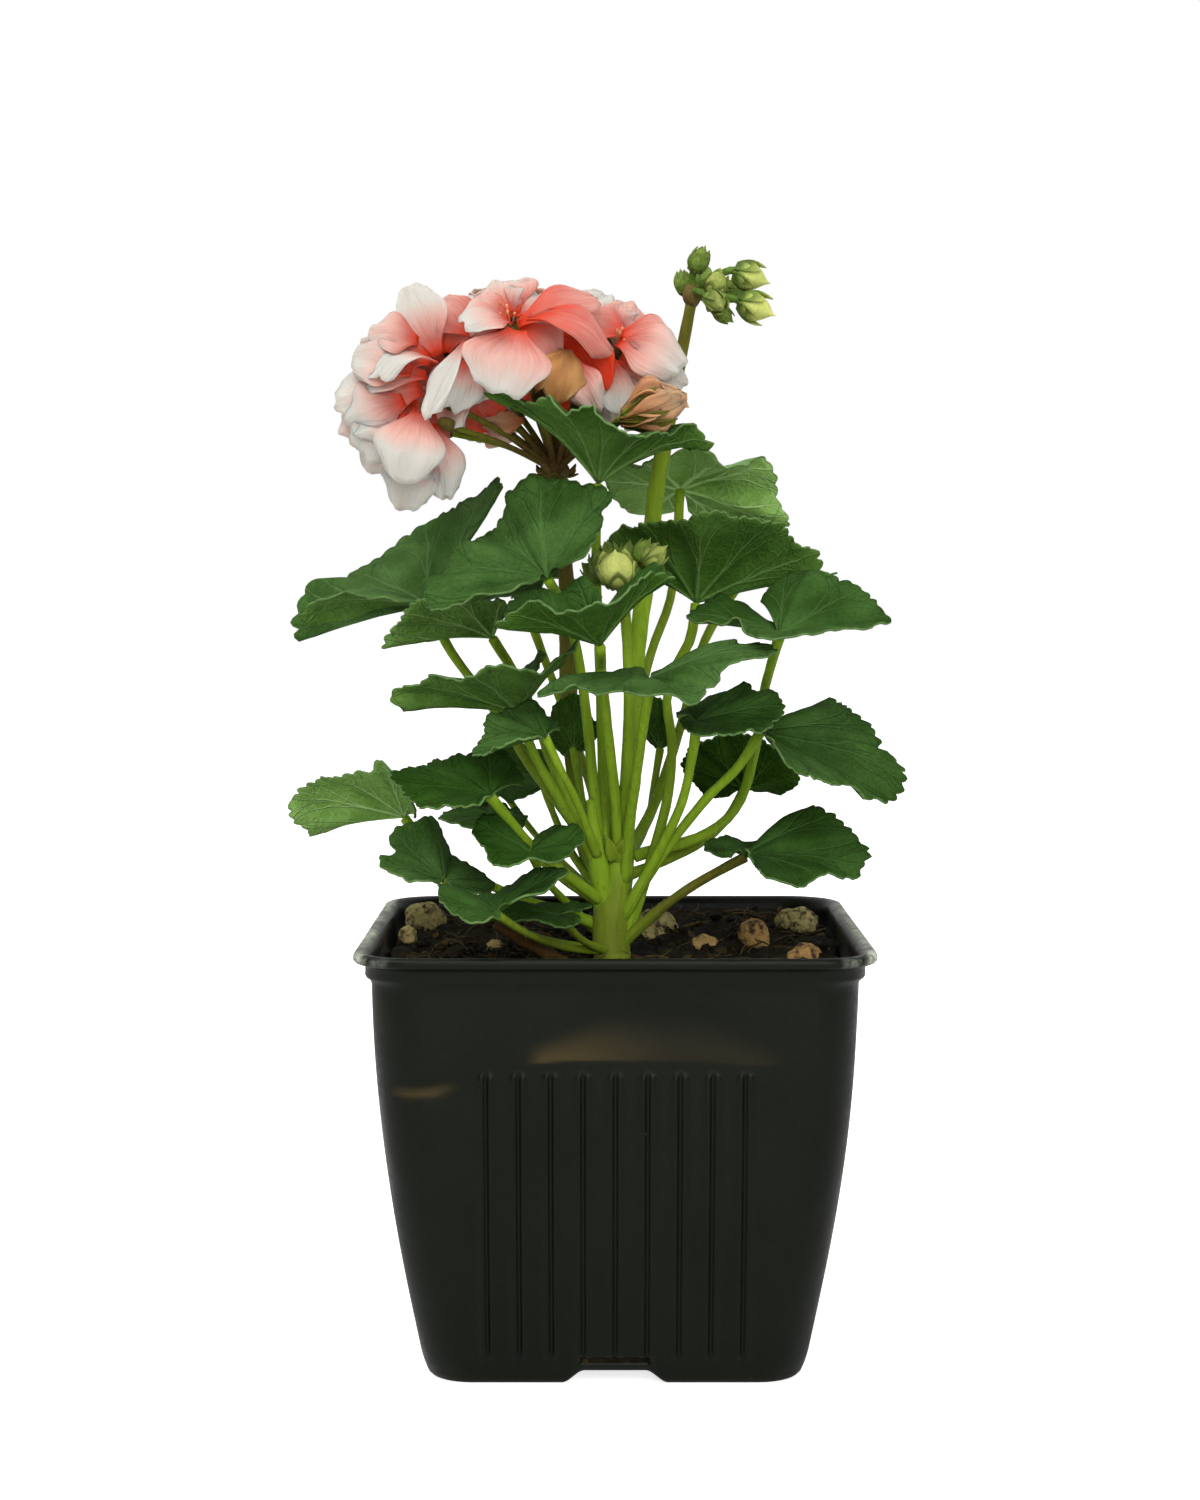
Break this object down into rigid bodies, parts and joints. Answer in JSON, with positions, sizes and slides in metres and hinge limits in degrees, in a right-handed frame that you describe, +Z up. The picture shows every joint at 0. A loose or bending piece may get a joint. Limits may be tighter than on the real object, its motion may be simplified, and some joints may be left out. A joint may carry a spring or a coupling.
{
  "type": "potted zonal geranium",
  "caption": "Young zonal geranium in a square black nursery pot: ruffled rounded leaves on long stalks, one open head of double salmon-pink florets and two clusters of green buds.",
  "frame": {"origin": "the middle of the whole plant's footprint in plan, on the surface that the pot stands on", "axes": "+Z up, +Y away from the side that faces the camera, +X to the right; the open head leans to -X"},
  "size_m": [0.1318, 0.1236, 0.2345],
  "materials": {
    "black_pot": "thin formed plastic, satin with glossy dents",
    "potting_mix": "dark crumbly peat mix with fibres",
    "clay_granule": "rough fired clay and perlite",
    "green_stem": "fleshy, finely hairy",
    "brown_stalk": "slender, finely hairy",
    "green_leaf": "soft, velvety, veined",
    "salmon_petal": "soft, satin, paler to the edges",
    "green_bud": "hairy green sepals"
  },
  "bodies": {
    "root": {"pot": "black_pot", "granule_back_left": "clay_granule", "granule_left": "clay_granule", "granule_front_left": "clay_granule", "granule_by_stem": "clay_granule", "granule_middle": "clay_granule", "granule_tall": "clay_granule", "granule_right": "clay_granule", "granule_front_right": "clay_granule", "soil": "potting_mix", "leaf_crown": "green_leaf", "leaf_back_high": "green_leaf", "leaf_left_broad": "green_leaf", "leaf_far_left": "green_leaf", "leaf_left_under": "green_leaf", "leaf_centre_cup": "green_leaf", "leaf_right_cup": "green_leaf", "leaf_right_high": "green_leaf", "leaf_front": "green_leaf", "leaf_left_mid": "green_leaf", "leaf_middle": "green_leaf", "leaf_middle_back": "green_leaf", "leaf_fan": "green_leaf", "leaf_far_left_low": "green_leaf", "leaf_left_low": "green_leaf", "leaf_low_back": "green_leaf", "leaf_low_saddle": "green_leaf", "leaf_low_left": "green_leaf", "leaf_low_front": "green_leaf", "leaf_low_centre": "green_leaf", "leaf_low_right": "green_leaf", "leaf_right_lobe": "green_leaf", "leaf_right_ruffled": "green_leaf", "leaf_right_shade": "green_leaf", "leaf_inner": "green_leaf", "leaf_hidden_left": "green_leaf", "leaf_hidden_right": "green_leaf", "leaf_hidden_low": "green_leaf", "petals_1": "salmon_petal", "petals_2": "salmon_petal", "petals_3": "salmon_petal", "petals_4": "salmon_petal", "petals_5": "salmon_petal", "petals_6": "salmon_petal", "petals_7": "salmon_petal", "petals_8": "salmon_petal", "petals_9": "salmon_petal", "stems": "green_stem", "flower_stalk": "brown_stalk", "buds_top": "green_bud", "buds_centre": "green_bud"}
  },
  "joints": []
}
